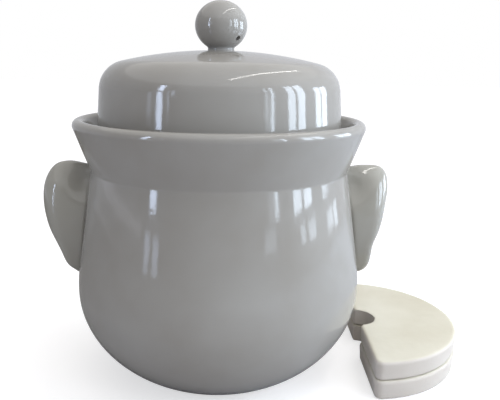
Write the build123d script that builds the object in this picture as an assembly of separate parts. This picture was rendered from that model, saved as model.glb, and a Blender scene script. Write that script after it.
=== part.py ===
from build123d import *
import os
from math import asin, atan2, cos, degrees, hypot, radians, sin, sqrt, tan

# A water seal pickle jar of about five litres, in millimetres, standing on Z 0 with its axis on Z.
# The crock, its collar, its ears and the lid with its knob are turned or pressed from clay,
# luted together and glazed. Two unglazed half-disc weights lie stacked beside the crock.

# Crock body: a bowl that follows an ellipse, and a shoulder that leans in above the belly
BELLY_RADIUS = 120.0
BELLY_HEIGHT = 76.0
FOOT_RADIUS = 64.3
SHOULDER_INSET = 14.0
SHOULDER_HEIGHT = 180.0
SHOULDER_ROUND = 150.0
BODY_WALL = 7.5
FLOOR_THICKNESS = 10.0
FLOOR_ROUND = 16.0
FOOT_ROUND = 1.6
UNDER_SHOULDER_DROP = 24.0
UNDER_TROUGH_WALL = 6.5

# Water trough: the channel that the lid's skirt stands in, with room for water on both sides
TROUGH_FLOOR_RISE = 13.0
TROUGH_ROUND = 2.5
TROUGH_ROOM_OUTSIDE = 3.2
TROUGH_ROOM_INSIDE = 8.8
NECK_WALL = 7.5
NECK_OVER_COLLAR = 3.0
NECK_RIM_ROUND = 3.2

# Collar: a flared wall with a rolled lip, standing on the ledge of the shoulder
COLLAR_TIP_INSET = 0.7
COLLAR_TIP_RISE = 32.0
COLLAR_WALL = 7.5
COLLAR_SEAT_WIDTH = 7.0
COLLAR_ROOT_ROUND = 8.0
LIP_RADIUS = 5.0

# Lid: a tapered skirt, a rounded corner and a low dome
LID_HEIGHT = 78.2
LID_TAPER_DEG = 4.4
LID_CORNER_RADIUS = 24.0
LID_DOME_RADIUS = 340.0
LID_WALL = 7.0
LID_FOOT_ROUND = 2.8
LID_SEAT_GAP = 0.3
GAS_NOTCH_RADIUS = 4.5

# Knob: a hollow ball on a short waisted neck, with a small firing vent
KNOB_RADIUS = 21.0
KNOB_WALL = 4.5
KNOB_NECK_RADIUS = 11.6
KNOB_NECK_RISE = 1.1
KNOB_NECK_ROUND = 2.5
VENT_RADIUS = 1.75
VENT_TURN_DEG = -46.0
VENT_TILT_DEG = -17.0

# Ears: two grips pressed on by hand, half a turn apart, one a little higher than the other
EAR_PAST_BELLY = 27.0
EAR_HEIGHT = 97.0
EAR_TOP_DROP = 0.5
EAR_THICKNESS = 48.0
EAR_ROOT_INSET = 22.0
EAR_TURN_DEG = 3.0
EAR_SET_OFFSET = 1.9

# Weights: half discs with a finger notch, cast with a little draft, that lie loose in the crock
WEIGHT_ROOM = 25.0
WEIGHT_THICKNESS = 16.5
WEIGHT_DRAFT_DEG = 4.5
WEIGHT_EDGE_ROUND = 1.8
WEIGHT_CORNER_ROUND = 6.0
FINGER_NOTCH_RADIUS = 16.7
NOTCH_CORNER_ROUND = 2.5
WEIGHT_PAST_BELLY = 8.1
WEIGHT_PLACE_Y = 11.4
WEIGHT_TURN_DEG = -2.6
WEIGHT_STACK_GAP = 0.3

# How far a cutting solid runs past what it cuts
OVERRUN = 6.0

# The bowl's ellipse is as deep as it takes to meet the flat foot at the foot's radius
BOWL_DEPTH = BELLY_HEIGHT / sqrt(1 - (FOOT_RADIUS / BELLY_RADIUS) ** 2)

# The shoulder's straight run touches the round above the belly and ends at the crease
SHOULDER_RADIUS = BELLY_RADIUS - SHOULDER_INSET
SHOULDER_ACROSS = SHOULDER_RADIUS - BELLY_RADIUS + SHOULDER_ROUND
SHOULDER_UP = SHOULDER_HEIGHT - BELLY_HEIGHT
SHOULDER_LEAN = asin(SHOULDER_ROUND / hypot(SHOULDER_ACROSS, SHOULDER_UP)) - atan2(
    SHOULDER_ACROSS, SHOULDER_UP
)
TROUGH_FLOOR = SHOULDER_HEIGHT + TROUGH_FLOOR_RISE
SPIGOT_RADIUS = SHOULDER_RADIUS - COLLAR_SEAT_WIDTH

# The collar's straight wall touches the hollow curve at its root and the lip's round at its tip
LIP_X = BELLY_RADIUS - COLLAR_TIP_INSET - LIP_RADIUS
LIP_Z = SHOULDER_HEIGHT + COLLAR_TIP_RISE
COLLAR_ROOT_X = SHOULDER_RADIUS + COLLAR_ROOT_ROUND * cos(SHOULDER_LEAN)
COLLAR_ROOT_Z = SHOULDER_HEIGHT + COLLAR_ROOT_ROUND * sin(SHOULDER_LEAN)
COLLAR_ACROSS = LIP_X - COLLAR_ROOT_X
COLLAR_UP = LIP_Z - COLLAR_ROOT_Z
COLLAR_FLARE = atan2(COLLAR_ACROSS, COLLAR_UP) + asin(
    (COLLAR_ROOT_ROUND + LIP_RADIUS) / hypot(COLLAR_ACROSS, COLLAR_UP)
)

# The lid's skirt and the neck take their places from the collar's inner foot
COLLAR_INNER_FOOT = SHOULDER_RADIUS + TROUGH_FLOOR_RISE * tan(COLLAR_FLARE) - COLLAR_WALL
LID_FOOT_RADIUS = COLLAR_INNER_FOOT - TROUGH_ROOM_OUTSIDE
LID_FOOT = TROUGH_FLOOR + LID_SEAT_GAP
LID_TOP = LID_FOOT + LID_HEIGHT
NECK_RADIUS = LID_FOOT_RADIUS - LID_WALL / cos(radians(LID_TAPER_DEG)) - TROUGH_ROOM_INSIDE
NECK_BORE_RADIUS = NECK_RADIUS - NECK_WALL
NECK_TOP = LIP_Z + LIP_RADIUS + NECK_OVER_COLLAR
NECK_ROOT = TROUGH_FLOOR - UNDER_TROUGH_WALL

# The ears and the weights take theirs from the belly and the wall
EAR_REACH = BELLY_RADIUS + EAR_PAST_BELLY
EAR_ROOT_RADIUS = BELLY_RADIUS - EAR_ROOT_INSET
EAR_TOP_HEIGHT = SHOULDER_HEIGHT - EAR_TOP_DROP
WEIGHT_RADIUS = BELLY_RADIUS - BODY_WALL - WEIGHT_ROOM
WEIGHT_PLACE_X = BELLY_RADIUS + WEIGHT_PAST_BELLY


def turned(*outline):
    """A solid turned about Z from the edges of its section, drawn as radius and height."""
    return revolve(Plane.XZ * make_face(outline), Axis.Z)


def round_rings(solid, radius, height, amount):
    """Rounds the circular edges of a turned solid that lie at one radius and height."""
    rings = solid.edges().filter_by(
        lambda edge: edge.geom_type == GeomType.CIRCLE
        and abs(edge.radius - radius) < amount
        and abs(edge.arc_center.Z - height) < amount
        and abs(edge.arc_center.X) < amount
    )
    return fillet(rings, amount)


def bowl_angle(height, inset=0.0):
    """Angle below the belly, along the bowl's ellipse, at which the wall is at a height."""
    return degrees(asin((BELLY_HEIGHT - height) / (BOWL_DEPTH - inset)))


def bowl_point(height, inset=0.0):
    """A point of the bowl's wall, outside, or inside when given the wall's thickness."""
    return ((BELLY_RADIUS - inset) * cos(radians(bowl_angle(height, inset))), height)


def shoulder_point(height, inset=0.0):
    """A point of the shoulder's straight run, which leans in at a steady angle towards the crease."""
    radius = SHOULDER_RADIUS - inset / cos(SHOULDER_LEAN)
    return (radius + (SHOULDER_HEIGHT - height) * tan(SHOULDER_LEAN), height)


def wall_edges(foot_height, top_height, inset=0.0):
    """One face of the crock's wall in section: the bowl up to the belly, a round, and the shoulder."""
    rise = bowl_angle(foot_height, inset)
    bowl = EllipticalCenterArc(
        (0, BELLY_HEIGHT),
        BELLY_RADIUS - inset,
        BOWL_DEPTH - inset,
        start_angle=-rise,
        arc_size=rise,
    )
    belly = CenterArc(
        (BELLY_RADIUS - SHOULDER_ROUND, BELLY_HEIGHT),
        SHOULDER_ROUND - inset,
        start_angle=0,
        arc_size=degrees(SHOULDER_LEAN),
    )
    return bowl, belly, Line(belly @ 1, shoulder_point(top_height, inset))


def collar_edges():
    """The collar's outer face in section: a small hollow curve, the flared wall and the rolled lip."""
    flare_deg = degrees(COLLAR_FLARE)
    inner_lean_deg = degrees(atan2(LIP_X - LIP_RADIUS - COLLAR_INNER_FOOT, LIP_Z - TROUGH_FLOOR))
    root = CenterArc(
        (COLLAR_ROOT_X, COLLAR_ROOT_Z),
        COLLAR_ROOT_ROUND,
        start_angle=180 + degrees(SHOULDER_LEAN),
        arc_size=-degrees(SHOULDER_LEAN) - flare_deg,
    )
    lip = CenterArc(
        (LIP_X, LIP_Z),
        LIP_RADIUS,
        start_angle=-flare_deg,
        arc_size=180 + flare_deg - inner_lean_deg,
    )
    return root, Line(root @ 1, lip @ 0), lip


def crock_envelope():
    """The outer form of crock and collar without their hollows, which the ears are cut to."""
    outer_wall = wall_edges(0, SHOULDER_HEIGHT)
    root, wall, lip = collar_edges()
    closing = Polyline(lip @ 1, (0, LIP_Z), (0, 0), outer_wall[0] @ 0)
    return turned(*outer_wall, root, wall, lip, *closing.edges())


def crock_section():
    """Half the section of the crock without its collar, from the flat foot up to the neck's rim."""
    outer_wall = wall_edges(0, SHOULDER_HEIGHT)
    inner_wall = wall_edges(FLOOR_THICKNESS, SHOULDER_HEIGHT - UNDER_SHOULDER_DROP, BODY_WALL)
    under_shoulder = TangentArc(
        inner_wall[-1] @ 1, (NECK_BORE_RADIUS, NECK_ROOT), tangent=inner_wall[-1] % 1
    )
    trough = Polyline(
        outer_wall[-1] @ 1,
        (SPIGOT_RADIUS, SHOULDER_HEIGHT),
        (SPIGOT_RADIUS, TROUGH_FLOOR),
        (NECK_RADIUS, TROUGH_FLOOR),
        (NECK_RADIUS, NECK_TOP),
        (NECK_BORE_RADIUS, NECK_TOP),
        under_shoulder @ 1,
    )
    base = Polyline(inner_wall[0] @ 0, (0, FLOOR_THICKNESS), (0, 0), outer_wall[0] @ 0)
    return make_face([*outer_wall, *trough.edges(), under_shoulder, *inner_wall, *base.edges()])


def below_seat():
    """The sheet below the seat of the neck ring and the collar, wide enough for any section."""
    return Pos(0, SHOULDER_HEIGHT / 2) * Rectangle(4 * BELLY_RADIUS, SHOULDER_HEIGHT)


def crock_body():
    """The thrown pot: flat foot, bowl and shoulder, up to the ledge that carries the two rings."""
    body = revolve(Plane.XZ * (crock_section() & below_seat()), Axis.Z)
    body = round_rings(body, FOOT_RADIUS, 0, FOOT_ROUND)
    floor_radius = bowl_point(FLOOR_THICKNESS, BODY_WALL)[0]
    return round_rings(body, floor_radius, FLOOR_THICKNESS, FLOOR_ROUND)


def neck_ring():
    """The ring luted on the ledge: the trough's floor with the neck that keeps the water out."""
    ring = revolve(Plane.XZ * (crock_section() - below_seat()), Axis.Z)
    ring = round_rings(ring, NECK_RADIUS, TROUGH_FLOOR, TROUGH_ROUND)
    ring = round_rings(ring, NECK_RADIUS, NECK_TOP, NECK_RIM_ROUND)
    ring = round_rings(ring, NECK_BORE_RADIUS, NECK_TOP, NECK_RIM_ROUND)
    return round_rings(ring, NECK_BORE_RADIUS, NECK_ROOT, TROUGH_ROUND)


def water_channel_collar():
    """The collar: a ring that stands on the shoulder's ledge and holds the water outside the neck."""
    root, wall, lip = collar_edges()
    inside = Polyline(
        lip @ 1,
        (COLLAR_INNER_FOOT, TROUGH_FLOOR),
        (SPIGOT_RADIUS, TROUGH_FLOOR),
        (SPIGOT_RADIUS, SHOULDER_HEIGHT),
        root @ 0,
    )
    collar = turned(root, wall, lip, *inside.edges())
    return round_rings(collar, COLLAR_INNER_FOOT, TROUGH_FLOOR, TROUGH_ROUND)


def lid_edges(inset=0.0):
    """One face of the lid's wall in section: skirt, corner and dome, with arcs that meet smoothly."""
    taper = radians(LID_TAPER_DEG)
    dome_z = LID_TOP - LID_DOME_RADIUS
    # The corner's centre lies one corner radius inside the skirt, at a climb along it that makes
    # the corner touch the dome from within
    start_x = LID_FOOT_RADIUS - LID_CORNER_RADIUS * cos(taper)
    start_z = LID_FOOT - LID_CORNER_RADIUS * sin(taper)
    along = start_x * -sin(taper) + (start_z - dome_z) * cos(taper)
    apart = start_x**2 + (start_z - dome_z) ** 2 - (LID_DOME_RADIUS - LID_CORNER_RADIUS) ** 2
    climb = -along + sqrt(along**2 - apart)
    corner_x = start_x - climb * sin(taper)
    corner_z = start_z + climb * cos(taper)
    dome_turn_deg = degrees(atan2(corner_z - dome_z, corner_x))
    corner = CenterArc(
        (corner_x, corner_z),
        LID_CORNER_RADIUS - inset,
        start_angle=LID_TAPER_DEG,
        arc_size=dome_turn_deg - LID_TAPER_DEG,
    )
    dome = CenterArc(
        (0, dome_z),
        LID_DOME_RADIUS - inset,
        start_angle=dome_turn_deg,
        arc_size=90 - dome_turn_deg,
    )
    foot = (LID_FOOT_RADIUS - inset / cos(taper), LID_FOOT)
    return Line(foot, corner @ 0), corner, dome


def lid_dome():
    """The lid: a shell open below, with two small gas notches in the edge that stands in the water."""
    skirt, corner, dome = lid_edges()
    inner_skirt, inner_corner, inner_dome = lid_edges(LID_WALL)
    lid = turned(
        skirt,
        corner,
        dome,
        Line(dome @ 1, inner_dome @ 1),
        inner_dome,
        inner_corner,
        inner_skirt,
        Line(inner_skirt @ 0, skirt @ 0),
    )
    lid = round_rings(lid, LID_FOOT_RADIUS, LID_FOOT, LID_FOOT_ROUND)
    lid = round_rings(lid, (inner_skirt @ 0).X, LID_FOOT, LID_FOOT_ROUND)
    bar = Rot(0, 90, 0) * Cylinder(GAS_NOTCH_RADIUS, 2 * (LID_FOOT_RADIUS + OVERRUN))
    return lid - Pos(0, 0, LID_FOOT) * bar


def lid_knob():
    """The knob: a ball thrown hollow, with a short neck that follows the dome it is luted to."""
    neck_x = KNOB_NECK_RADIUS + KNOB_NECK_ROUND
    neck_drop = sqrt((KNOB_RADIUS + KNOB_NECK_ROUND) ** 2 - neck_x**2)
    ball_z = LID_TOP + KNOB_NECK_RISE + neck_drop
    touch_deg = degrees(atan2(neck_drop, neck_x))
    ball = CenterArc((0, ball_z), KNOB_RADIUS, start_angle=90, arc_size=-90 - touch_deg)
    neck = CenterArc(
        (neck_x, ball_z - neck_drop),
        KNOB_NECK_ROUND,
        start_angle=180 - touch_deg,
        arc_size=90 + touch_deg,
    )
    below = Polyline(neck @ 1, (neck_x, LID_TOP - OVERRUN), (0, LID_TOP - OVERRUN), ball @ 0)
    dome = Pos(0, 0, LID_TOP - LID_DOME_RADIUS) * Sphere(LID_DOME_RADIUS)
    hollow = Pos(0, 0, ball_z) * Sphere(KNOB_RADIUS - KNOB_WALL)
    vent = Rot(0, 90 - VENT_TILT_DEG, 0) * Cylinder(
        VENT_RADIUS, KNOB_RADIUS + OVERRUN, align=(Align.CENTER, Align.CENTER, Align.MIN)
    )
    knob = turned(ball, neck, *below.edges()) - dome - hollow
    return knob - Pos(0, 0, ball_z) * Rot(0, 0, VENT_TURN_DEG) * vent


# Level cuts through an ear, from the top down, as shares: how far down its height, its reach,
# and its thickness at the round outer end, at the middle, and at the flared root
EAR_CUT_SHARES = (
    (0.000, 0.872, 0.10, 0.16, 0.29),
    (0.014, 0.916, 0.20, 0.25, 0.42),
    (0.050, 0.956, 0.31, 0.37, 0.58),
    (0.110, 0.983, 0.40, 0.50, 0.73),
    (0.200, 0.998, 0.48, 0.65, 0.88),
    (0.330, 0.998, 0.56, 0.81, 1.02),
    (0.480, 0.982, 0.60, 0.94, 1.12),
    (0.640, 0.950, 0.58, 1.00, 1.17),
    (0.790, 0.916, 0.52, 0.94, 1.08),
    (0.900, 0.896, 0.42, 0.79, 0.92),
    (0.965, 0.868, 0.29, 0.58, 0.67),
    (1.000, 0.838, 0.16, 0.33, 0.42),
)
# How far out the middle lies between the root and the centre of the outer end's round
EAR_MIDDLE_PLACE_SHARE = 0.56


def ear_cut(down_share, reach_share, end_share, middle_share, root_share):
    """One level cut: a flared root buried in the wall, leaning flanks and a round outer end."""
    end_half = end_share * EAR_THICKNESS / 2
    middle_half = middle_share * EAR_THICKNESS / 2
    root_half = root_share * EAR_THICKNESS / 2
    reach = reach_share * EAR_REACH
    end_x = reach - end_half
    middle_x = EAR_ROOT_RADIUS + EAR_MIDDLE_PLACE_SHARE * (end_x - EAR_ROOT_RADIUS)
    near = Spline(
        (EAR_ROOT_RADIUS, -root_half),
        (middle_x, -middle_half),
        (end_x, -end_half),
        tangents=((1, 0), (1, 0)),
    )
    end = ThreePointArc(near @ 1, (reach, 0), (end_x, end_half))
    far = Spline(
        end @ 1,
        (middle_x, middle_half),
        (EAR_ROOT_RADIUS, root_half),
        tangents=((-1, 0), (-1, 0)),
    )
    face = make_face([near, end, far, Line(far @ 1, near @ 0)])
    return Pos(0, 0, -down_share * EAR_HEIGHT) * face


def ear(turn_deg, rise, envelope):
    """An ear lofted through its level cuts, turned to its side of the crock and cut to the wall."""
    grip = loft([ear_cut(*shares) for shares in reversed(EAR_CUT_SHARES)])
    return Rot(0, 0, turn_deg) * Pos(0, 0, EAR_TOP_HEIGHT + rise) * grip - envelope


def weight(base):
    """A half disc with its straight edge towards the crock, standing on a given height."""
    disc = Circle(WEIGHT_RADIUS) - Circle(FINGER_NOTCH_RADIUS)
    half = disc & (Pos(WEIGHT_RADIUS, 0) * Rectangle(2 * WEIGHT_RADIUS, 2 * WEIGHT_RADIUS))
    ends = half.vertices().filter_by(lambda corner: abs(corner.Y) > FINGER_NOTCH_RADIUS + OVERRUN)
    half = fillet(ends, WEIGHT_CORNER_ROUND)
    mouth = half.vertices().filter_by(
        lambda corner: abs(corner.X) < NOTCH_CORNER_ROUND
        and abs(corner.Y) < FINGER_NOTCH_RADIUS + NOTCH_CORNER_ROUND
    )
    half = fillet(mouth, NOTCH_CORNER_ROUND)
    slab = extrude(half, -WEIGHT_THICKNESS, taper=WEIGHT_DRAFT_DEG)
    rims = slab.edges().group_by(Axis.Z)
    slab = fillet(rims[0] + rims[-1], WEIGHT_EDGE_ROUND)
    turn = Rot(0, 0, WEIGHT_TURN_DEG)
    return Pos(WEIGHT_PLACE_X, WEIGHT_PLACE_Y, base + WEIGHT_THICKNESS) * turn * slab


envelope = crock_envelope()
parts = {
    "crock_body": crock_body(),
    "neck_ring": neck_ring(),
    "water_channel_collar": water_channel_collar(),
    "ear_left": ear(180 + EAR_TURN_DEG, EAR_SET_OFFSET, envelope),
    "ear_right": ear(EAR_TURN_DEG, -EAR_SET_OFFSET, envelope),
    "lid_dome": lid_dome(),
    "lid_knob": lid_knob(),
    "weight_lower": weight(0),
    "weight_upper": weight(WEIGHT_THICKNESS + WEIGHT_STACK_GAP),
}

os.makedirs("parts", exist_ok=True)
for name, part in parts.items():
    export_step(part, f"parts/{name}.step")
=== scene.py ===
import math

import bpy
from mathutils import Matrix, Vector


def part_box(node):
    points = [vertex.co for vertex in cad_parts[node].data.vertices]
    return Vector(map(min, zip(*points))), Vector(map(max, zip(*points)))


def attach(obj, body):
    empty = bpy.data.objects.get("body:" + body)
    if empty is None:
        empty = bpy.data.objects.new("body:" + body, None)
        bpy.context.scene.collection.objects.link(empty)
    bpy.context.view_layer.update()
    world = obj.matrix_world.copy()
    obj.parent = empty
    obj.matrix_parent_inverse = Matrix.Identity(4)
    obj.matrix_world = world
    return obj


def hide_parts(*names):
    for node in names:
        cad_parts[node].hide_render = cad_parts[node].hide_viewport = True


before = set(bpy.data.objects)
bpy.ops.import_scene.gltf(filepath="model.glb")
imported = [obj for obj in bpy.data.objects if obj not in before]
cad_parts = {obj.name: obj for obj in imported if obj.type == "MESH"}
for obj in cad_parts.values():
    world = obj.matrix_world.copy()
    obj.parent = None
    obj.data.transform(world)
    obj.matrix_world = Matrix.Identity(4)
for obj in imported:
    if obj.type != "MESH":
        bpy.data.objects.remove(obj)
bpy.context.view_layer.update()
bpy.ops.object.select_all(action="DESELECT")

# Crock body: a thrown stoneware pot with a flat foot, a bowl that swells to the belly and a
# shoulder that leans in to a level ledge. It is turned here as on the wheel: half its section
# is drawn from the foot round to the floor, spun, and covered in warm grey feldspar glaze.
BELLY_HEIGHT = 0.076
FOOT_RADIUS = 0.0643
SHOULDER_INSET = 0.014
SHOULDER_ROUND = 0.150
CREASE_DROP = 0.0046
CREASE_ROUND = 0.004
COLLAR_TIP_RISE = 0.032
LIP_RADIUS = 0.005
BODY_WALL = 0.0075
FLOOR_THICKNESS = 0.010
FLOOR_RADIUS = 0.050
INNER_BOWL_END = 0.020
# Reach past the floor's edge and height over it, where the bowl turns into the floor
FLOOR_CORNER = ((0.010, 0.0030), (0.005, 0.0008), (0, 0))
FOOT_ROUND = 0.0016
SEAT_RADIUS = 0.099
UNDER_SHOULDER_CENTRE = (0.06324, 0.15014)
UNDER_SHOULDER_TURNS = (math.radians(49.54), math.radians(67.90))
SPIN_STEPS = 192
SHARP_EDGE = math.radians(40)
MERGE_DISTANCE = 0.00001

body_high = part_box("crock_body")[1]
BELLY_RADIUS = body_high.y
SHOULDER_HEIGHT = body_high.z
SHOULDER_RADIUS = BELLY_RADIUS - SHOULDER_INSET
BOWL_DEPTH = BELLY_HEIGHT / math.sqrt(1 - (FOOT_RADIUS / BELLY_RADIUS) ** 2)
# The shoulder's straight run touches the round above the belly and ends at the crease
shoulder_across = SHOULDER_RADIUS - BELLY_RADIUS + SHOULDER_ROUND
shoulder_up = SHOULDER_HEIGHT - BELLY_HEIGHT
SHOULDER_LEAN = math.asin(SHOULDER_ROUND / math.hypot(shoulder_across, shoulder_up))
SHOULDER_LEAN -= math.atan2(shoulder_across, shoulder_up)
# The crease under the collar is a tight round that starts on the shoulder, below the ledge. From
# it the wall flares straight to the collar's lip, and the ledge lies where it passes through.
crease_x = SHOULDER_RADIUS + CREASE_DROP * math.tan(SHOULDER_LEAN)
crease_x += CREASE_ROUND * math.cos(SHOULDER_LEAN)
crease_z = SHOULDER_HEIGHT - CREASE_DROP + CREASE_ROUND * math.sin(SHOULDER_LEAN)
lip_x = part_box("water_channel_collar")[1].y - LIP_RADIUS
lip_z = SHOULDER_HEIGHT + COLLAR_TIP_RISE
flare = math.atan2(lip_x - crease_x, lip_z - crease_z)
flare += math.asin((CREASE_ROUND + LIP_RADIUS) / math.hypot(lip_x - crease_x, lip_z - crease_z))
ledge_x = lip_x + LIP_RADIUS * math.cos(flare)
ledge_x -= (lip_z - LIP_RADIUS * math.sin(flare) - SHOULDER_HEIGHT) * math.tan(flare)

pen = Vector((0, 0, 0))


def start_drawing(name, x, y, z):
    """Starts a piece as one point, left in edit mode for a section or an outline to be drawn."""
    bpy.ops.object.select_all(action="DESELECT")
    bpy.ops.mesh.primitive_plane_add(size=0.01, location=(0, 0, 0))
    piece = bpy.context.object
    piece.name = piece.data.name = name
    bpy.ops.object.mode_set(mode="EDIT")
    bpy.ops.mesh.merge(type="CENTER")
    bpy.ops.transform.translate(value=(x, y, z))
    pen[:] = (x, y, z)
    return piece


def draw_to(x, z, steps=1):
    """Draws a section on in a straight line to a radius and a height."""
    stroke = (Vector((x, pen.y, z)) - pen) / steps
    for _ in range(steps):
        bpy.ops.mesh.extrude_region_move(TRANSFORM_OT_translate={"value": stroke})
    pen[:] = (x, pen.y, z)


def draw_round(x, z, turn, steps):
    """Draws a section on round a centre, counter-clockwise where the turn is positive."""
    centre = Vector((x, pen.y, z))
    bpy.ops.mesh.spin(steps=steps, angle=turn, center=centre, axis=(0, 1, 0))
    pen[:] = Matrix.Rotation(-turn, 3, "Y") @ (pen - centre) + centre


def close_mesh():
    """Merges doubles, turns all faces outwards and leaves edit mode."""
    bpy.ops.mesh.select_all(action="SELECT")
    bpy.ops.mesh.remove_doubles(threshold=MERGE_DISTANCE)
    bpy.ops.mesh.normals_make_consistent(inside=False)
    bpy.ops.object.mode_set(mode="OBJECT")


def turn_on_wheel():
    """Spins the drawn section once round the jar's axis and smooths all but its sharp edges."""
    bpy.ops.mesh.select_all(action="SELECT")
    bpy.ops.mesh.spin(steps=SPIN_STEPS, angle=2 * math.pi, center=(0, 0, 0), axis=(0, 0, 1))
    close_mesh()
    bpy.ops.object.shade_smooth_by_angle(angle=SHARP_EDGE)


def draw_bowl(low_turn, high_turn, inset, steps):
    """Draws along the bowl's ellipse, between two turns below the belly."""
    for step in range(steps + 1):
        turn = low_turn + (high_turn - low_turn) * step / steps
        draw_to(
            (BELLY_RADIUS - inset) * math.cos(turn),
            BELLY_HEIGHT - (BOWL_DEPTH - inset) * math.sin(turn),
        )


crock_body = start_drawing("crock_body_glazed", 0, 0, 0)
draw_to(FOOT_RADIUS - FOOT_ROUND, 0, 6)
draw_bowl(math.asin((BELLY_HEIGHT - FOOT_ROUND) / BOWL_DEPTH), 0, 0, 44)
draw_round(BELLY_RADIUS - SHOULDER_ROUND, BELLY_HEIGHT, SHOULDER_LEAN, 12)
draw_to(crease_x - CREASE_ROUND * math.cos(SHOULDER_LEAN), SHOULDER_HEIGHT - CREASE_DROP, 14)
draw_round(crease_x, crease_z, -SHOULDER_LEAN - flare, 10)
draw_to(ledge_x, SHOULDER_HEIGHT)
draw_to(SEAT_RADIUS, SHOULDER_HEIGHT, 2)
arch_x, arch_z = UNDER_SHOULDER_CENTRE
seat_turn, root_turn = UNDER_SHOULDER_TURNS
arch_radius = (SHOULDER_HEIGHT - arch_z) / math.sin(seat_turn)
draw_to(arch_x + arch_radius * math.cos(seat_turn), SHOULDER_HEIGHT, 2)
draw_round(arch_x, arch_z, SHOULDER_LEAN - seat_turn, 10)
lean_end = SHOULDER_ROUND - BODY_WALL
draw_to(
    BELLY_RADIUS - SHOULDER_ROUND + lean_end * math.cos(SHOULDER_LEAN),
    BELLY_HEIGHT + lean_end * math.sin(SHOULDER_LEAN),
    10,
)
draw_round(BELLY_RADIUS - SHOULDER_ROUND, BELLY_HEIGHT, -SHOULDER_LEAN, 10)
inner_turn = math.asin((BELLY_HEIGHT - INNER_BOWL_END) / (BOWL_DEPTH - BODY_WALL))
draw_bowl(0, inner_turn, BODY_WALL, 24)
for corner_reach, corner_rise in FLOOR_CORNER:
    draw_to(FLOOR_RADIUS + corner_reach, FLOOR_THICKNESS + corner_rise)
draw_to(0, FLOOR_THICKNESS, 6)
turn_on_wheel()


def new_material(name):
    """A new material, with its node tree and its shader."""
    material = bpy.data.materials.new(name)
    material.use_nodes = True
    return material, material.node_tree, material.node_tree.nodes["Principled BSDF"]


def on_piece(tree):
    """The piece's own coordinates, in metres."""
    return tree.nodes.new("ShaderNodeTexCoord").outputs["Object"]


def noise_on_piece(tree, per_metre, detail=2.0, squash_z=1.0):
    """Noise with so many spots to the metre; squash_z over 1 makes them lower than wide."""
    mapping = tree.nodes.new("ShaderNodeMapping")
    mapping.inputs["Scale"].default_value = (1, 1, squash_z)
    noise = tree.nodes.new("ShaderNodeTexNoise")
    noise.inputs["Scale"].default_value = per_metre
    noise.inputs["Detail"].default_value = detail
    tree.links.new(on_piece(tree), mapping.inputs["Vector"])
    tree.links.new(mapping.outputs["Vector"], noise.inputs["Vector"])
    return noise.outputs["Fac"]


def part_of(tree, vector, axis):
    """The part of a vector along X, Y or Z."""
    node = tree.nodes.new("ShaderNodeSeparateXYZ")
    tree.links.new(vector, node.inputs["Vector"])
    return node.outputs[axis]


def spread(tree, value, low, high, to_low=0, to_high=1):
    """Spreads a value that lies between two limits over 0 to 1, or over another range."""
    node = tree.nodes.new("ShaderNodeMapRange")
    limits = {"From Min": low, "From Max": high, "To Min": to_low, "To Max": to_high}
    for socket, limit in limits.items():
        node.inputs[socket].default_value = limit
    tree.links.new(value, node.inputs["Value"])
    return node.outputs["Result"]


def colour_stops(tree, value, *stops):
    """A colour ramp, driven by a value, from pairs of a place and a linear colour."""
    node = tree.nodes.new("ShaderNodeValToRGB")
    bar = node.color_ramp.elements
    while len(bar) < len(stops):
        bar.new(0.5)
    for element, (place, colour) in zip(bar, stops):
        element.position = place
        element.color = (*colour, 1)
    tree.links.new(value, node.inputs["Fac"])
    return node.outputs["Color"]


def relief(tree, height, depth, strength, under=None):
    """Surface relief from a value, laid over an earlier relief where one is given."""
    node = tree.nodes.new("ShaderNodeBump")
    node.inputs["Distance"].default_value = depth
    node.inputs["Strength"].default_value = strength
    tree.links.new(height, node.inputs["Height"])
    if under is not None:
        tree.links.new(under, node.inputs["Normal"])
    return node.outputs["Normal"]


def mix_colours(tree, share, first, second):
    """Two colours, each even or patterned, mixed by the share that the second one has."""
    node = tree.nodes.new("ShaderNodeMixRGB")
    tree.links.new(share, node.inputs["Fac"])
    for socket, colour in (("Color1", first), ("Color2", second)):
        if isinstance(colour, tuple):
            node.inputs[socket].default_value = (*colour, 1)
        else:
            tree.links.new(colour, node.inputs[socket])
    return node.outputs["Color"]


def grey(value):
    """A value as a colour, for a ramp that drives roughness."""
    return (value, value, value)


GLAZE_THIN = (0.287, 0.269, 0.244)
GLAZE = (0.310, 0.294, 0.271)
GLAZE_THICK = (0.333, 0.320, 0.298)
GLAZE_IOR = 1.52
GLOSSY = 0.06
HAZY = 0.10
CLOUDS_PER_METRE = 15
HAZE_PER_METRE = 55
SWELLS_PER_METRE = 26
SWELL_DEPTH = 0.0006
SWELL_SQUASH = 1.4
PEEL_PER_METRE = 420
PEEL_DEPTH = 0.00004
BARE_CLAY = (0.52, 0.47, 0.39)
BARE_ROUGHNESS = 0.8
WIPED_EDGE = 0.0005
FOOT_WIPE = 0.0010


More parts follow.
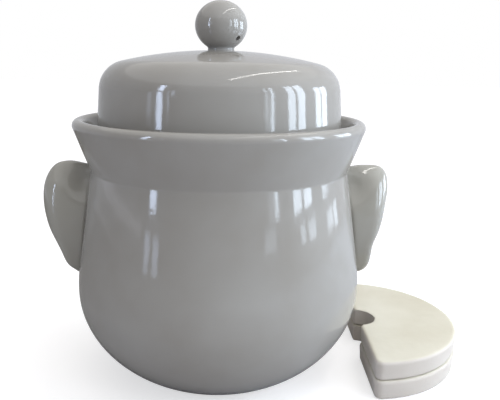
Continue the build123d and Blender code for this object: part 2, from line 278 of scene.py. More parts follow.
def warm_grey_glaze(name, wiped_below=None, blue=1.0, swelling=0.35):
    """Glossy glaze with faint clouds, a soft swell and fine orange peel, wiped off at the edge."""
    material, tree, shader = new_material(name)
    clouds = noise_on_piece(tree, CLOUDS_PER_METRE, detail=3)
    thin, even, thick = ((r, g, b * blue) for r, g, b in (GLAZE_THIN, GLAZE, GLAZE_THICK))
    colour = colour_stops(tree, clouds, (0.3, thin), (0.5, even), (0.72, thick))
    haze = noise_on_piece(tree, HAZE_PER_METRE)
    gloss = colour_stops(tree, haze, (0.3, grey(GLOSSY)), (0.7, grey(HAZY)))
    if wiped_below is not None:
        height = part_of(tree, on_piece(tree), "Z")
        glazed = spread(tree, height, wiped_below, wiped_below + WIPED_EDGE)
        colour = mix_colours(tree, glazed, BARE_CLAY, colour)
        gloss = mix_colours(tree, glazed, grey(BARE_ROUGHNESS), gloss)
    tree.links.new(colour, shader.inputs["Base Color"])
    tree.links.new(gloss, shader.inputs["Roughness"])
    shader.inputs["IOR"].default_value = GLAZE_IOR
    swells = noise_on_piece(tree, SWELLS_PER_METRE, squash_z=SWELL_SQUASH)
    swell = relief(tree, swells, SWELL_DEPTH, swelling)
    peel = relief(tree, noise_on_piece(tree, PEEL_PER_METRE), PEEL_DEPTH, 0.5, under=swell)
    tree.links.new(peel, shader.inputs["Normal"])
    return material


def put_on(piece, material, body, node):
    """Gives a piece its finish and its body, and lets it stand for the solid of the frame."""
    piece.data.materials.clear()
    piece.data.materials.append(material)
    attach(piece, body)
    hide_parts(node)


glaze = warm_grey_glaze("warm_grey_glaze")
foot_glaze = warm_grey_glaze("warm_grey_glaze_wiped_foot", wiped_below=FOOT_WIPE)
put_on(crock_body, foot_glaze, "crock", "crock_body")

# Neck ring: the floor of the water channel and the upright neck inside it, thrown as one ring
# and luted on the ledge. The lid goes over the neck, and the sealing water stays outside it.
NECK_BORE_RADIUS = 0.07801
NECK_WALL = 0.0075
NECK_RIM_ROUND = 0.0032
NECK_ROOT_ROUND = 0.0025
TROUGH_FLOOR_RISE = 0.013
TROUGH_ROUND = 0.0025
UNDER_TROUGH_WALL = 0.0065

NECK_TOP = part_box("neck_ring")[1].z
NECK_RADIUS = NECK_BORE_RADIUS + NECK_WALL
TROUGH_FLOOR = SHOULDER_HEIGHT + TROUGH_FLOOR_RISE
neck_root = TROUGH_FLOOR - UNDER_TROUGH_WALL

neck_ring = start_drawing("neck_ring_glazed", SEAT_RADIUS, 0, SHOULDER_HEIGHT)
draw_to(SEAT_RADIUS, TROUGH_FLOOR, 2)
draw_to(NECK_RADIUS + TROUGH_ROUND, TROUGH_FLOOR, 3)
draw_round(NECK_RADIUS + TROUGH_ROUND, TROUGH_FLOOR + TROUGH_ROUND, -math.pi / 2, 6)
draw_to(NECK_RADIUS, NECK_TOP - NECK_RIM_ROUND, 4)
draw_round(NECK_RADIUS - NECK_RIM_ROUND, NECK_TOP - NECK_RIM_ROUND, math.pi / 2, 8)
draw_to(NECK_BORE_RADIUS + NECK_RIM_ROUND, NECK_TOP)
draw_round(NECK_BORE_RADIUS + NECK_RIM_ROUND, NECK_TOP - NECK_RIM_ROUND, math.pi / 2, 8)
draw_to(NECK_BORE_RADIUS, neck_root + NECK_ROOT_ROUND / 2, 4)
draw_to(arch_x + arch_radius * math.cos(root_turn), arch_z + arch_radius * math.sin(root_turn))
draw_round(arch_x, arch_z, seat_turn - root_turn, 6)
draw_to(SEAT_RADIUS, SHOULDER_HEIGHT, 2)
turn_on_wheel()
put_on(neck_ring, glaze, "crock", "neck_ring")

# Collar: the outer wall of the water channel, a flared ring with a thick rolled lip. The potter
# throws it on the ledge too, and one coat of glaze runs over it and the shoulder without a gap.
COLLAR_WALL = 0.0075

inner_foot = SHOULDER_RADIUS + TROUGH_FLOOR_RISE * math.tan(flare) - COLLAR_WALL
inner_lean = math.atan2(lip_x - LIP_RADIUS - inner_foot, lip_z - TROUGH_FLOOR)
fillet_x = inner_foot - TROUGH_ROUND + TROUGH_ROUND * math.tan(inner_lean)

collar = start_drawing("water_channel_collar_glazed", SEAT_RADIUS, 0, SHOULDER_HEIGHT)
draw_to(ledge_x, SHOULDER_HEIGHT, 2)
draw_to(lip_x + LIP_RADIUS * math.cos(flare), lip_z - LIP_RADIUS * math.sin(flare), 8)
draw_round(lip_x, lip_z, math.pi + flare - inner_lean, 32)
draw_to(fillet_x + TROUGH_ROUND, TROUGH_FLOOR + TROUGH_ROUND, 5)
draw_round(fillet_x, TROUGH_FLOOR + TROUGH_ROUND, -math.pi / 2, 6)
draw_to(SEAT_RADIUS, TROUGH_FLOOR, 2)
draw_to(SEAT_RADIUS, SHOULDER_HEIGHT, 2)
turn_on_wheel()
put_on(collar, glaze, "crock", "water_channel_collar")

# Ears: two solid clay grips, pressed in a mould and luted to the shoulder by hand, half a turn
# apart. Each is drawn through level outlines, from a thin top through a broad middle to a smeared
# foot, with hollows that a thumb presses in beside the root, and is then rubbed with a wet sponge.
UPWARD = 0.9
EAR_SINK = 0.003
EAR_FLANK = 1.6
EAR_GRAIN = 0.0010
EAR_SPONGING = 26
THUMB_REACH = 0.018
HOLLOW_DEPTH = 0.006
HOLLOW_REACH = 0.023
HOLLOW_DROP = 0.014
# The level outline, counted from the top, whose flanks get the hollows
HOLLOW_LEVEL = 5
EAR_BLUE = 0.955
MILLIMETRES = 1000
# Level outlines in millimetres: height, reach from the jar's axis, half the thickness
EAR_LEVELS = {
    "ear_left": (
        (181.3, 127.0, 2.0), (180.6, 131.5, 4.0), (179.0, 135.3, 6.5), (176.2, 138.6, 9.8),
        (171.7, 141.8, 13.0), (166.1, 144.5, 16.2), (159.8, 146.1, 19.0), (151.0, 146.7, 21.4),
        (142.1, 146.1, 22.8), (135.7, 145.0, 23.0), (128.4, 143.4, 22.8), (122.6, 141.3, 22.3),
        (117.4, 138.9, 21.5), (112.3, 136.8, 20.5), (107.9, 134.8, 19.5), (102.7, 133.1, 18.0),
        (98.2, 131.6, 16.5), (94.8, 130.0, 15.0), (92.5, 128.1, 13.5), (90.6, 125.4, 12.0),
        (88.3, 123.4, 9.5), (84.6, 122.0, 5.0),
    ),
    "ear_right": (
        (177.5, 134.0, 2.2), (176.9, 138.5, 4.0), (174.5, 142.6, 7.2), (169.1, 145.5, 12.2),
        (161.3, 146.7, 16.8), (153.4, 146.0, 19.8), (148.2, 145.0, 21.2), (143.0, 144.3, 22.2),
        (136.9, 143.4, 23.0), (130.9, 142.4, 23.0), (124.0, 140.7, 22.8), (119.3, 139.2, 22.4),
        (114.8, 137.2, 21.7), (110.2, 135.3, 20.8), (105.5, 134.5, 19.8), (96.2, 134.0, 17.3),
        (91.4, 133.4, 15.4), (87.5, 132.0, 13.2), (84.4, 129.9, 10.5), (82.0, 127.6, 7.5),
        (80.7, 125.0, 4.5),
    ),
}
EAR_TURNS = {"ear_left": math.radians(183), "ear_right": math.radians(3)}
EAR_THUMB_DROP = {"ear_left": 0.0032, "ear_right": 0.0022}


def plan_to(x, y, steps=1):
    """Draws a plan outline on in a straight line."""
    stroke = (Vector((x, y, pen.z)) - pen) / steps
    for _ in range(steps):
        bpy.ops.mesh.extrude_region_move(TRANSFORM_OT_translate={"value": stroke})
    pen[:] = (x, y, pen.z)


def plan_round(x, y, turn, steps):
    """Draws a plan outline on round a centre, counter-clockwise where the turn is positive."""
    centre = Vector((x, y, pen.z))
    bpy.ops.mesh.spin(steps=steps, angle=turn, center=centre, axis=(0, 0, -1))
    pen[:] = Matrix.Rotation(turn, 3, "Z") @ (pen - centre) + centre


def wall_radius(z):
    """The outer radius of the crock's wall at a height above the belly."""
    if z < BELLY_HEIGHT + SHOULDER_ROUND * math.sin(SHOULDER_LEAN):
        return BELLY_RADIUS - SHOULDER_ROUND + math.sqrt(SHOULDER_ROUND**2 - (z - BELLY_HEIGHT) ** 2)
    return SHOULDER_RADIUS + (SHOULDER_HEIGHT - z) * math.tan(SHOULDER_LEAN)


def bring_to_edit(piece):
    """Selects one piece alone and makes it the one that is worked on."""
    bpy.ops.object.select_all(action="DESELECT")
    bpy.context.view_layer.objects.active = piece
    piece.select_set(True)


def press(piece, spot, push, reach, top_only=False):
    """Presses a soft dent round a spot, as a thumb does, in the whole piece or its top alone."""
    bring_to_edit(piece)
    bpy.ops.object.mode_set(mode="EDIT")
    bpy.ops.mesh.select_all(action="DESELECT")
    if top_only:
        bpy.ops.object.mode_set(mode="OBJECT")
        for face in piece.data.polygons:
            face.select = face.normal.z > UPWARD
        bpy.ops.object.mode_set(mode="EDIT")
        bpy.ops.mesh.hide(unselected=True)
        bpy.ops.mesh.select_all(action="DESELECT")
    bpy.ops.object.mode_set(mode="OBJECT")
    min(piece.data.vertices, key=lambda vertex: (vertex.co - Vector(spot)).length).select = True
    bpy.ops.object.mode_set(mode="EDIT")
    bpy.ops.transform.translate(
        value=push,
        use_proportional_edit=True,
        proportional_edit_falloff="SMOOTH",
        proportional_size=reach,
    )
    bpy.ops.mesh.reveal(select=False)
    bpy.ops.object.mode_set(mode="OBJECT")


def sponge_smooth(piece, grain, rubs):
    """Turns a piece into one even skin of clay, and rubs it soft."""
    skin = piece.modifiers.new("skin", "REMESH")
    skin.mode = "VOXEL"
    skin.voxel_size = grain
    bpy.ops.object.modifier_apply(modifier=skin.name)
    rub = piece.modifiers.new("rub", "SMOOTH")
    rub.iterations = rubs
    bpy.ops.object.modifier_apply(modifier=rub.name)
    bpy.ops.object.shade_smooth()


ear_glaze = warm_grey_glaze("warm_grey_glaze_on_ears", blue=EAR_BLUE)
for node, levels in EAR_LEVELS.items():
    ear = start_drawing(node + "_glazed", 0, -1, 0)
    plan_to(EAR_FLANK, -1, 12)
    plan_round(EAR_FLANK, 0, math.pi, 32)
    plan_to(0, 1, 12)
    plan_to(0, -1, 12)
    bpy.ops.mesh.select_all(action="SELECT")
    bpy.ops.mesh.remove_doubles(threshold=MERGE_DISTANCE)
    bpy.ops.mesh.edge_face_add()
    root, height, long, half = 0, 0, 1, 1
    for number, level in enumerate(levels):
        z, reach, thick = (size / MILLIMETRES for size in level)
        if number > 0:
            bpy.ops.mesh.extrude_region_move(TRANSFORM_OT_translate={"value": (0, 0, 0)})
        next_root = wall_radius(z) - EAR_SINK
        next_long = (reach - next_root) / (EAR_FLANK + 1)
        bpy.ops.transform.resize(
            value=(next_long / long, thick / half, 1), center_override=(root, 0, height)
        )
        bpy.ops.transform.translate(value=(next_root - root, 0, z - height))
        root, height, long, half = next_root, z, next_long, thick
    close_mesh()
    soften = ear.modifiers.new("soften", "SUBSURF")
    soften.levels = soften.render_levels = 1
    bring_to_edit(ear)
    bpy.ops.object.modifier_apply(modifier=soften.name)
    top_z = levels[0][0] / MILLIMETRES
    press(ear, (wall_radius(top_z), 0, top_z), (0, 0, -EAR_THUMB_DROP[node]), THUMB_REACH)
    hollow_z = top_z - HOLLOW_DROP
    flank = levels[HOLLOW_LEVEL][2] / MILLIMETRES
    for side in (-1, 1):
        spot = (wall_radius(hollow_z), side * flank, hollow_z)
        press(ear, spot, (0, -side * HOLLOW_DEPTH, 0), HOLLOW_REACH)
    sponge_smooth(ear, EAR_GRAIN, EAR_SPONGING)
    ear.rotation_euler.z = EAR_TURNS[node]
    bpy.ops.object.transform_apply(location=False, rotation=True, scale=False)
    put_on(ear, ear_glaze, "crock", node)

# Lid: a heavy dome with a straight skirt that stands in the water. It is thrown upside down, and
# two half-round notches are cut in its edge, so that gas can bubble out under the water.
LID_FOOT_RADIUS = 0.10133
LID_TAPER = math.radians(4.4)
LID_CORNER_RADIUS = 0.024
LID_DOME_RADIUS = 0.340
LID_WALL = 0.007
LID_FOOT_ROUND = 0.0028
GAS_NOTCH_RADIUS = 0.0045
LID_WIPE = 0.0012

lid_low, lid_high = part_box("lid_dome")
LID_FOOT = lid_low.z
LID_TOP = lid_high.z
dome_z = LID_TOP - LID_DOME_RADIUS
# The corner's centre climbs beside the skirt until the corner touches the dome from within
start_x = LID_FOOT_RADIUS - LID_CORNER_RADIUS * math.cos(LID_TAPER)
start_z = LID_FOOT - LID_CORNER_RADIUS * math.sin(LID_TAPER)
along = (start_z - dome_z) * math.cos(LID_TAPER) - start_x * math.sin(LID_TAPER)
apart = start_x**2 + (start_z - dome_z) ** 2 - (LID_DOME_RADIUS - LID_CORNER_RADIUS) ** 2
climb = math.sqrt(along**2 - apart) - along
corner_x = start_x - climb * math.sin(LID_TAPER)
corner_z = start_z + climb * math.cos(LID_TAPER)
dome_turn = math.atan2(corner_z - dome_z, corner_x)
foot_x = LID_FOOT_RADIUS - LID_FOOT_ROUND * (1 / math.cos(LID_TAPER) + math.tan(LID_TAPER))
inner_x = LID_FOOT_RADIUS - LID_WALL / math.cos(LID_TAPER)
inner_x += LID_FOOT_ROUND * (1 / math.cos(LID_TAPER) - math.tan(LID_TAPER))

lid = start_drawing("lid_dome_glazed", inner_x, 0, LID_FOOT)
draw_to(foot_x, LID_FOOT)
draw_round(foot_x, LID_FOOT + LID_FOOT_ROUND, math.pi / 2 + LID_TAPER, 10)
draw_to(
    corner_x + LID_CORNER_RADIUS * math.cos(LID_TAPER),
    corner_z + LID_CORNER_RADIUS * math.sin(LID_TAPER),
    12,
)
draw_round(corner_x, corner_z, dome_turn - LID_TAPER, 28)
draw_round(0, dome_z, math.pi / 2 - dome_turn, 30)
draw_to(0, LID_TOP - LID_WALL)
draw_round(0, dome_z, dome_turn - math.pi / 2, 20)
draw_round(corner_x, corner_z, LID_TAPER - dome_turn, 16)
draw_to(
    inner_x - LID_FOOT_ROUND * math.cos(LID_TAPER),
    LID_FOOT + LID_FOOT_ROUND * (1 - math.sin(LID_TAPER)),
    12,
)
draw_round(inner_x, LID_FOOT + LID_FOOT_ROUND, math.pi / 2 - LID_TAPER, 8)
turn_on_wheel()


def cut_with(piece, cutter):
    """Cuts the form of a tool out of a piece, and clears the tool away."""
    bring_to_edit(piece)
    cut = piece.modifiers.new("cut", "BOOLEAN")
    cut.operation = "DIFFERENCE"
    cut.solver = "EXACT"
    cut.object = cutter
    bpy.ops.object.modifier_apply(modifier=cut.name)
    bpy.data.objects.remove(cutter)


bpy.ops.object.select_all(action="DESELECT")
bpy.ops.mesh.primitive_cylinder_add(
    vertices=48,
    radius=GAS_NOTCH_RADIUS,
    depth=2.2 * LID_FOOT_RADIUS,
    location=(0, 0, LID_FOOT),
    rotation=(0, math.pi / 2, 0),
)
cut_with(lid, bpy.context.object)
lid_glaze = warm_grey_glaze("warm_grey_glaze_wiped_edge", wiped_below=LID_FOOT + LID_WIPE)
put_on(lid, lid_glaze, "lid", "lid_dome")

# Knob: a ball thrown hollow, patted a little flat, and luted to the dome on a short waisted neck.
# A small vent low on its right front let the hot air out in the kiln. It is the lid's handle.
KNOB_RADIUS = 0.021
KNOB_WALL = 0.0045
KNOB_NECK_RADIUS = 0.0106
KNOB_NECK_ROUND = 0.0025
KNOB_SINK = 0.0045
KNOB_FLATNESS = 0.935
VENT_RADIUS = 0.0022
VENT_DIRECTION = Vector((0.654, -0.577, -0.489))
KNOB_DROP = 0.0006
KNOB_SWELLING = 0.10

ball = Vector((0, 0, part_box("lid_knob")[1].z - KNOB_DROP - KNOB_RADIUS))
neck_x = KNOB_NECK_RADIUS + KNOB_NECK_ROUND
neck_drop = math.sqrt((KNOB_RADIUS + KNOB_NECK_ROUND) ** 2 - neck_x**2)
neck_touch = math.atan2(neck_drop, neck_x)

knob = start_drawing("lid_knob_glazed", 0, 0, ball.z + KNOB_RADIUS)
draw_round(0, ball.z, -math.pi / 2 - neck_touch, 64)
draw_round(neck_x, ball.z - neck_drop, math.pi / 2 + neck_touch, 18)
draw_to(neck_x, LID_TOP - KNOB_SINK)
draw_to(0, LID_TOP - KNOB_SINK)
turn_on_wheel()
bpy.ops.object.select_all(action="DESELECT")
bpy.ops.mesh.primitive_uv_sphere_add(
    segments=64, ring_count=32, radius=KNOB_RADIUS - KNOB_WALL, location=ball
)
cut_with(knob, bpy.context.object)
bpy.ops.object.mode_set(mode="EDIT")
bpy.ops.mesh.select_all(action="SELECT")
bpy.ops.transform.resize(value=(1, 1, KNOB_FLATNESS), center_override=ball)
bpy.ops.object.mode_set(mode="OBJECT")
bpy.ops.object.select_all(action="DESELECT")
bpy.ops.mesh.primitive_cylinder_add(
    vertices=40,
    radius=VENT_RADIUS,
    depth=KNOB_RADIUS,
    location=ball + VENT_DIRECTION * KNOB_RADIUS,
    rotation=VENT_DIRECTION.to_track_quat("Z", "Y").to_euler(),
)
cut_with(knob, bpy.context.object)
bring_to_edit(knob)
bpy.ops.object.shade_smooth_by_angle(angle=SHARP_EDGE)
knob_glaze = warm_grey_glaze("warm_grey_glaze_on_knob", swelling=KNOB_SWELLING)
put_on(knob, knob_glaze, "lid", "lid_knob")

# Weights: two half discs of stoneware that is left bare, pressed in a mould with a little draft.
# A finger goes in the notch of the straight edge. They lie one on the other beside the crock.
WEIGHT_RADIUS = 0.0875
WEIGHT_DRAFT = math.radians(4.5)
WEIGHT_EDGE_ROUND = 0.0026
WEIGHT_FOOT_ROUND = 0.0011
WEIGHT_CORNER_ROUND = 0.006
FINGER_NOTCH_RADIUS = 0.0167
NOTCH_CORNER_ROUND = 0.0025
WEIGHT_PLACE = Vector((0.1281, 0.0114, 0))
WEIGHT_TURN = math.radians(-2.6)
BISQUE_GRAIN = 0.0010
BISQUE_SPONGING = 2
DISH_SPOT = (0.046, 0)
DISH_DEPTH = 0.0013
DISH_REACH = 0.060
PRESS_MARK_SIZE = 0.018
PRESS_MARK_DEPTH = 0.0003
# Painted light: the top faces get the first three, yellower tones for the warm light from overhead.
# The side faces get the last two, lighter and bluer tones for the cool window light and to lift
# their shade.
BISQUE_SHADE = (0.522, 0.482, 0.390)
BISQUE = (0.570, 0.535, 0.444)
BISQUE_PALE = (0.609, 0.576, 0.490)
SIDE_TINT_DARK = (0.575, 0.522, 0.465)
SIDE_TINT = (0.600, 0.553, 0.504)
# How far up the clay faces where the painted top tint begins, and where it is whole
TOP_FACES = (0.6, 0.98)
BLOTCHES_PER_METRE = 22
DENTS_PER_METRE = 120
DENT_DEPTH = 0.0005
GRAINS_PER_METRE = 1500
GRAIN_DEPTH = 0.0002
BISQUE_ROUGHNESS = 0.92
BISQUE_SHINE = 0.25

corner_turn = math.asin(WEIGHT_CORNER_ROUND / (WEIGHT_RADIUS - WEIGHT_CORNER_ROUND))
corner_y = (WEIGHT_RADIUS - WEIGHT_CORNER_ROUND) * math.cos(corner_turn)
mouth_turn = math.acos(NOTCH_CORNER_ROUND / (FINGER_NOTCH_RADIUS + NOTCH_CORNER_ROUND))
mouth_y = (FINGER_NOTCH_RADIUS + NOTCH_CORNER_ROUND) * math.sin(mouth_turn)


def sink(inwards, up):
    """Draws a rim in from the selected face all round, and moves the face up or down."""
    bpy.ops.mesh.inset(thickness=inwards, depth=0, use_even_offset=True)
    bpy.ops.transform.translate(value=(0, 0, up))


def round_rim(amount, up, steps):
    """Rounds the rim that the selected face ends in by a quarter turn, upwards or downwards."""
    for step in range(steps):
        turn, next_turn = (math.pi / 2 * place / steps for place in (step, step + 1))
        sink(
            amount * (math.cos(turn) - math.cos(next_turn)),
            up * amount * (math.sin(next_turn) - math.sin(turn)),
        )


weight_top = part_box("weight_lower")[1].z
widest = weight_top - WEIGHT_EDGE_ROUND
side_height = widest - WEIGHT_FOOT_ROUND
weight_lower = start_drawing("weight_lower_bisque", 0, -mouth_y, widest)
plan_to(0, -corner_y, 12)
plan_round(WEIGHT_CORNER_ROUND, -corner_y, math.pi / 2 + corner_turn, 10)
plan_round(0, 0, math.pi - 2 * corner_turn, 90)
plan_round(WEIGHT_CORNER_ROUND, corner_y, math.pi / 2 + corner_turn, 10)
plan_to(0, mouth_y, 12)
plan_round(NOTCH_CORNER_ROUND, mouth_y, mouth_turn, 6)
plan_round(0, 0, -2 * mouth_turn, 26)
plan_round(NOTCH_CORNER_ROUND, -mouth_y, mouth_turn, 6)
bpy.ops.mesh.select_all(action="SELECT")
bpy.ops.mesh.remove_doubles(threshold=MERGE_DISTANCE)
bpy.ops.mesh.edge_face_add()
sink(side_height * math.tan(WEIGHT_DRAFT), -side_height)
round_rim(WEIGHT_FOOT_ROUND, -1, 4)
bpy.ops.mesh.select_all(action="DESELECT")
bpy.ops.mesh.select_non_manifold()
bpy.ops.mesh.edge_face_add()
round_rim(WEIGHT_EDGE_ROUND, 1, 5)
close_mesh()
bring_to_edit(weight_lower)
sponge_smooth(weight_lower, BISQUE_GRAIN, BISQUE_SPONGING)
press(weight_lower, (*DISH_SPOT, weight_top), (0, 0, -DISH_DEPTH), DISH_REACH, top_only=True)
uneven = bpy.data.textures.new("hand_pressed", "CLOUDS")
uneven.noise_scale = PRESS_MARK_SIZE
wear = weight_lower.modifiers.new("wear", "DISPLACE")
wear.texture = uneven
wear.strength = PRESS_MARK_DEPTH
bpy.ops.object.modifier_apply(modifier=wear.name)
weight_lower.rotation_euler.z = WEIGHT_TURN
weight_lower.location = WEIGHT_PLACE
bpy.ops.object.transform_apply(location=True, rotation=True, scale=False)
bpy.ops.object.duplicate()
weight_upper = bpy.context.object
weight_upper.name = weight_upper.data.name = "weight_upper_bisque"
weight_upper.location.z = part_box("weight_upper")[0].z
bpy.ops.object.transform_apply(location=True, rotation=False, scale=False)

bisque, tree, shader = new_material("cream_bisque")
tone = noise_on_piece(tree, BLOTCHES_PER_METRE, detail=6)
painted_top_tint = colour_stops(tree, tone, (0.25, BISQUE_SHADE), (0.5, BISQUE), (0.75, BISQUE_PALE))
painted_side_tint = colour_stops(tree, tone, (0.3, SIDE_TINT_DARK), (0.7, SIDE_TINT))
# Painted light: the colour is picked by the way each face points, warm tones on the top and lighter,
# cooler tones on the sides
facing = tree.nodes.new("ShaderNodeNewGeometry").outputs["Normal"]
upward = spread(tree, part_of(tree, facing, "Z"), *TOP_FACES)
tree.links.new(mix_colours(tree, upward, painted_side_tint, painted_top_tint), shader.inputs["Base Color"])
shader.inputs["Roughness"].default_value = BISQUE_ROUGHNESS
shader.inputs["Specular IOR Level"].default_value = BISQUE_SHINE
dents = relief(tree, noise_on_piece(tree, DENTS_PER_METRE, detail=4), DENT_DEPTH, 0.35)
grain = relief(tree, noise_on_piece(tree, GRAINS_PER_METRE), GRAIN_DEPTH, 0.5, under=dents)
tree.links.new(grain, shader.inputs["Normal"])
put_on(weight_lower, bisque, "weight_lower", "weight_lower")
put_on(weight_upper, bisque, "weight_upper", "weight_upper")

# Table: a plain white sheet, so wide that its edge never shows. To the camera it is lifted to white,
# so that only the soft shadow of the jar and the weights is left on it. In the glaze its colour is a
# painted reflection, dark at the left and pale at the right.
FLOOR_DROP = 0.0004
FLOOR_WHITE = (0.535, 0.525, 0.535)
FLOOR_LIFT = 0.60
FLOOR_REACH = 0.5
TABLE_RADIUS = 8
TABLE_ROUGHNESS = 0.9
# Painted reflection: the floor's colour as the glaze sees it, dark at the left and pale at the right
FLOOR_IN_GLAZE = ((0, (0.14, 0.13, 0.11)), (0.5, (0.31, 0.305, 0.315)), (1, (0.50, 0.515, 0.55)))

bpy.ops.object.select_all(action="DESELECT")
bpy.ops.mesh.primitive_circle_add(
    vertices=96, radius=TABLE_RADIUS, fill_type="NGON", location=(0, 0, -FLOOR_DROP)
)
floor = bpy.context.object
floor.name = floor.data.name = "table"
bpy.ops.object.transform_apply(location=True, rotation=True, scale=True)
table, tree, shader = new_material("white_table")
shader.inputs["Roughness"].default_value = TABLE_ROUGHNESS
shader.inputs["Specular IOR Level"].default_value = 0
lift = tree.nodes.new("ShaderNodeEmission")
lift.inputs["Strength"].default_value = FLOOR_LIFT
path = tree.nodes.new("ShaderNodeLightPath")
across = spread(tree, part_of(tree, on_piece(tree), "X"), -FLOOR_REACH, FLOOR_REACH)
painted_floor_reflection = colour_stops(tree, across, *FLOOR_IN_GLAZE)
sheet = mix_colours(tree, path.outputs["Is Glossy Ray"], FLOOR_WHITE, painted_floor_reflection)
tree.links.new(sheet, shader.inputs["Base Color"])
seen = tree.nodes.new("ShaderNodeMixShader")
both = tree.nodes.new("ShaderNodeAddShader")
tree.links.new(shader.outputs["BSDF"], both.inputs[0])
tree.links.new(lift.outputs["Emission"], both.inputs[1])
tree.links.new(path.outputs["Is Camera Ray"], seen.inputs["Fac"])
tree.links.new(shader.outputs["BSDF"], seen.inputs[1])
tree.links.new(both.outputs["Shader"], seen.inputs[2])
tree.links.new(seen.outputs["Shader"], tree.nodes["Material Output"].inputs["Surface"])
floor.data.materials.append(table)

# Room light: a white studio, brightest overhead and a little to the right. To the camera and in
# reflections it is as white as the background.
ROOM_SIDE = 0.21
ROOM_OVERHEAD = 1.90
ROOM_TONES = ((0, (0.94, 0.91, 0.84)), (0.5, (1.0, 0.98, 0.93)), (1, (0.91, 0.96, 1.06)))
BRIGHTEST_WAY = Vector((0.42, 0, 0.91))


def reach_along(tree, vector, way):
    """How far a vector reaches along a way."""
    node = tree.nodes.new("ShaderNodeVectorMath")
    node.operation = "DOT_PRODUCT"
    node.inputs[1].default_value = way
    tree.links.new(vector, node.inputs[0])
    return node.outputs["Value"]


def larger(tree, first, second):
    """The larger one of two values, which for yes or no means either of them."""
    node = tree.nodes.new("ShaderNodeMath")
    node.operation = "MAXIMUM"
    tree.links.new(first, node.inputs[0])
    tree.links.new(second, node.inputs[1])
    return node.outputs["Value"]


world = bpy.data.worlds.new("studio")
bpy.context.scene.world = world
world.use_nodes = True
tree = world.node_tree
room = tree.nodes["Background"]
way = tree.nodes.new("ShaderNodeTexCoord").outputs["Generated"]
across = spread(tree, part_of(tree, way, "X"), -1, 1)
tree.links.new(colour_stops(tree, across, *ROOM_TONES), room.inputs["Color"])
ahead = spread(tree, reach_along(tree, way, BRIGHTEST_WAY), 0, 1)
rise = tree.nodes.new("ShaderNodeMath")
rise.operation = "POWER"
rise.inputs[1].default_value = 2
tree.links.new(ahead, rise.inputs[0])
brightness = spread(tree, rise.outputs["Value"], 0, 1, ROOM_SIDE, ROOM_OVERHEAD)
tree.links.new(brightness, room.inputs["Strength"])
shown = tree.nodes.new("ShaderNodeBackground")
shown.inputs["Color"].default_value = (1, 1, 1, 1)
shown.inputs["Strength"].default_value = 1
path = tree.nodes.new("ShaderNodeLightPath").outputs
seen_white = larger(tree, path["Is Camera Ray"], path["Is Glossy Ray"])
seen_white = larger(tree, seen_white, path["Is Transmission Ray"])
mix = tree.nodes.new("ShaderNodeMixShader")
tree.links.new(seen_white, mix.inputs["Fac"])
tree.links.new(room.outputs["Background"], mix.inputs[1])
tree.links.new(shown.outputs["Background"], mix.inputs[2])
tree.links.new(mix.outputs["Shader"], tree.nodes["World Output"].inputs["Surface"])


def soft_box(name, place, facing, width, height, watts, colour):
    """A flat lamp of a given size, turned to face a way, and seen only in what it lights."""
    lamp = bpy.data.lights.new(name, "AREA")
    lamp.shape = "RECTANGLE"
    lamp.size = width
    lamp.size_y = height
    lamp.energy = watts
    lamp.color = colour
    holder = bpy.data.objects.new(name, lamp)
    bpy.context.collection.objects.link(holder)
    holder.location = place
    holder.rotation_euler = facing
    holder.visible_camera = False


# Window panes: they stand upright round the jar, with dark bars left between them. Each pane is a
# bearing from the front towards the right and a width in degrees, two heights, and a brightness.
PANE_DISTANCE = 1.05
LEFT_PANES = (
    (-53.2, 5.2, 0.175, 0.415, 12.5),
    (-53.2, 5.2, 0.465, 0.800, 15.0),
    (-62.8, 4.0, 0.250, 0.360, 1.8),
    (-45.2, 1.6, 0.270, 0.480, 3.2),
    (-41.0, 2.6, 0.340, 0.500, 3.6),
    (-55.8, 4.2, 0.035, 0.118, 3.2),
    (-48.6, 4.6, 0.035, 0.118, 3.2),
)
RIGHT_PANES = (
    (42.0, 8.0, 0.160, 0.600, 1.6),
    (39.0, 2.2, 0.270, 0.440, 3.0),
    (38.6, 2.2, 0.500, 0.720, 6.0),
    (44.8, 3.0, 0.170, 0.760, 9.0),
    (63.8, 7.6, 0.150, 0.780, 11.0),
    (74.4, 8.2, 0.145, 0.780, 11.0),
    (38.5, 9.0, 0.095, 0.142, 2.4),
    (67.0, 4.6, 0.078, 0.122, 5.0),
    (76.6, 7.8, 0.065, 0.112, 5.0),
    (96.0, 7.6, 0.130, 0.560, 9.5),
    (105.6, 8.4, 0.130, 0.520, 9.5),
    (99.0, 8.6, 0.035, 0.085, 4.0),
    (107.6, 6.0, 0.024, 0.076, 4.0),
)
PALE_BLUE = (0.66, 0.77, 1.0)
PALE = (0.74, 0.86, 1.0)
for side, colour, panes in (("left", PALE_BLUE, LEFT_PANES), ("right", PALE, RIGHT_PANES)):
    for number, (bearing, wide, low, high, bright) in enumerate(panes):
        turn = math.radians(bearing)
        width = PANE_DISTANCE * math.radians(wide)
        place = (PANE_DISTANCE * math.sin(turn), -PANE_DISTANCE * math.cos(turn), (low + high) / 2)
        watts = bright * math.pi * width * (high - low)
        name = f"pane_{side}_{number}"
        soft_box(name, place, (math.pi / 2, 0, turn), width, high - low, watts, colour)

# Tube lamp: a long thin white tube that hangs over the right side at a slant. It draws the thin
# bright line that runs over the lid and the knob.
TUBE_PLACE = (0.65, -0.07, 1.75)
TUBE_TURN = math.radians(66)
TUBE_LENGTH = 2.24
TUBE_WIDTH = 0.05
TUBE_WATTS = 5.0
TUBE_WHITE = (1, 0.98, 0.94)
soft_box("tube", TUBE_PLACE, (0, 0, TUBE_TURN), TUBE_LENGTH, TUBE_WIDTH, TUBE_WATTS, TUBE_WHITE)

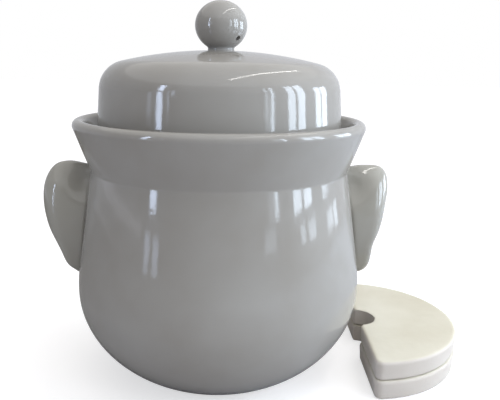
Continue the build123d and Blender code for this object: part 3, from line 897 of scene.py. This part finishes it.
# Grey screen: a glowing sheet that stands all round and is seen only in the glaze. It is a painted
# reflection, darkest at the front left, which gives the jar the flanks that it has in a furnished
# room. A pale sill, also a glowing painted reflection, runs along its left side.
SCREEN_RADIUS = 1.2
SCREEN_HEIGHT = 1.0
SCREEN_BRIGHT_WAY = Vector((0.6, 0.8, 0)) / SCREEN_RADIUS
SCREEN_TONES = ((0, (0.165, 0.155, 0.130)), (1, (0.72, 0.74, 0.79)))
SILL_TURNS = (math.radians(-122), math.radians(-62))
SILL_HEIGHTS = (0.098, 0.140)
SILL_TONE = (0.80, 0.80, 0.86)

bpy.ops.object.select_all(action="DESELECT")
bpy.ops.mesh.primitive_cylinder_add(
    vertices=96,
    radius=SCREEN_RADIUS,
    depth=SCREEN_HEIGHT,
    end_fill_type="NOTHING",
    location=(0, 0, SCREEN_HEIGHT / 2),
)
screen = bpy.context.object
screen.name = screen.data.name = "grey_screen"
bpy.ops.object.transform_apply(location=True, rotation=True, scale=True)
# The screen's colour glows: a painted reflection, dark at the front left and pale at the back right
screen_glow, tree, shader = new_material("grey_screen_painted_reflection")
across = spread(tree, reach_along(tree, on_piece(tree), SCREEN_BRIGHT_WAY), -1, 1)
shade = tree.nodes.new("ShaderNodeEmission")
tree.links.new(colour_stops(tree, across, *SCREEN_TONES), shade.inputs["Color"])
tree.links.new(shade.outputs["Emission"], tree.nodes["Material Output"].inputs["Surface"])
screen.data.materials.append(screen_glow)

sill_low, sill_high = SILL_HEIGHTS
sill_start, sill_end = SILL_TURNS
sill_x = PANE_DISTANCE * math.sin(sill_start)
sill_y = -PANE_DISTANCE * math.cos(sill_start)
sill = start_drawing("sill", sill_x, sill_y, sill_low)
bpy.ops.mesh.extrude_region_move(TRANSFORM_OT_translate={"value": (0, 0, sill_high - sill_low)})
bpy.ops.mesh.select_all(action="SELECT")
bpy.ops.mesh.spin(steps=40, angle=sill_end - sill_start, center=(0, 0, 0), axis=(0, 0, -1))
bpy.ops.object.mode_set(mode="OBJECT")
paint, tree, shader = new_material("pale_sill")
shade = tree.nodes.new("ShaderNodeEmission")
shade.inputs["Color"].default_value = (*SILL_TONE, 1)
tree.links.new(shade.outputs["Emission"], tree.nodes["Material Output"].inputs["Surface"])
sill.data.materials.append(paint)

for piece in (screen, sill):
    piece.visible_camera = False
    piece.visible_diffuse = False
    piece.visible_shadow = False

# Camera: it stands at the height of the knob's neck and looks down on the lid a little, with the
# small turn and roll that the photograph was taken with.
CAMERA_LENS = 42.48
CAMERA_SENSOR = 36
CAMERA_PLACE = (0, -0.49505, 0.26129)
CAMERA_SWING = -0.05184
CAMERA_DOWN = 0.22696
CAMERA_ROLL = 0.017404

camera_data = bpy.data.cameras.new("camera")
camera_data.lens = CAMERA_LENS
camera_data.sensor_width = CAMERA_SENSOR
camera = bpy.data.objects.new("camera", camera_data)
bpy.context.collection.objects.link(camera)
camera.matrix_world = (
    Matrix.Translation(CAMERA_PLACE)
    @ Matrix.Rotation(CAMERA_SWING, 4, "Z")
    @ Matrix.Rotation(math.pi / 2 - CAMERA_DOWN, 4, "X")
    @ Matrix.Rotation(CAMERA_ROLL, 4, "Z")
)
bpy.context.scene.camera = camera
bpy.context.scene.view_settings.view_transform = "Standard"
